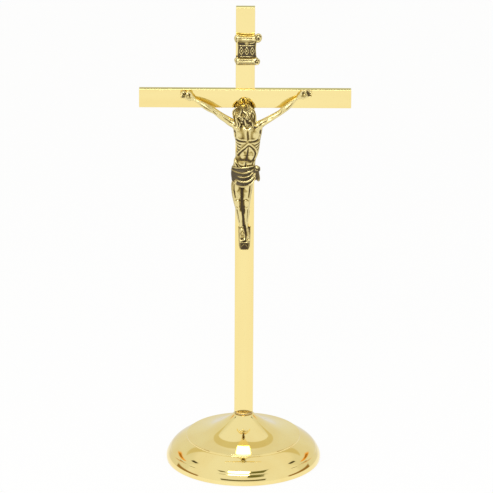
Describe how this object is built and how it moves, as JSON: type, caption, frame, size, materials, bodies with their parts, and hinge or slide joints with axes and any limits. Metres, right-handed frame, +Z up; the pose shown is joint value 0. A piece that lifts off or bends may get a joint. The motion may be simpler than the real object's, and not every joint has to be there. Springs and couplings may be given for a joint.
{
  "type": "standing cross",
  "caption": "Free-standing brass cross on a round weighted base, with a cast figure, a footrest and a title scroll pinned to flat bars, for an altar or table.",
  "frame": {"origin": "middle of the felt's underside, on the surface the cross stands on", "axes": "+Z up the upright, +X along the crossbar to the right of someone who looks at the figure, -Y out of the front"},
  "size_m": [0.178, 0.133, 0.406],
  "materials": {
    "base_shell": "mirror polished and lacquered",
    "base_weight": "as cast",
    "base_plate": "zinc plated",
    "felt_pad": "felt",
    "foot_collar": "mirror polished and lacquered",
    "foot_stud": "zinc plated",
    "clamp_washer": "zinc plated",
    "clamp_nut": "zinc plated",
    "upright_bar": "mirror polished and lacquered",
    "crossbar": "mirror polished and lacquered",
    "crossing_screw_upper": "zinc plated",
    "crossing_screw_lower": "zinc plated",
    "title_scroll": "antiqued casting",
    "scroll_pin": "antiqued",
    "corpus": "antiqued casting",
    "footrest": "antiqued casting",
    "hand_pin_left": "antiqued",
    "hand_pin_right": "antiqued",
    "foot_pin": "antiqued"
  },
  "bodies": {
    "root": {"base_shell": "base_shell", "base_weight": "base_weight", "base_plate": "base_plate", "felt_pad": "felt_pad", "foot_collar": "foot_collar", "foot_stud": "foot_stud", "clamp_washer": "clamp_washer", "clamp_nut": "clamp_nut", "upright_bar": "upright_bar", "crossbar": "crossbar", "crossing_screw_upper": "crossing_screw_upper", "crossing_screw_lower": "crossing_screw_lower", "title_scroll": "title_scroll", "scroll_pin": "scroll_pin", "corpus": "corpus", "footrest": "footrest", "hand_pin_left": "hand_pin_left", "hand_pin_right": "hand_pin_right", "foot_pin": "foot_pin"}
  },
  "joints": []
}
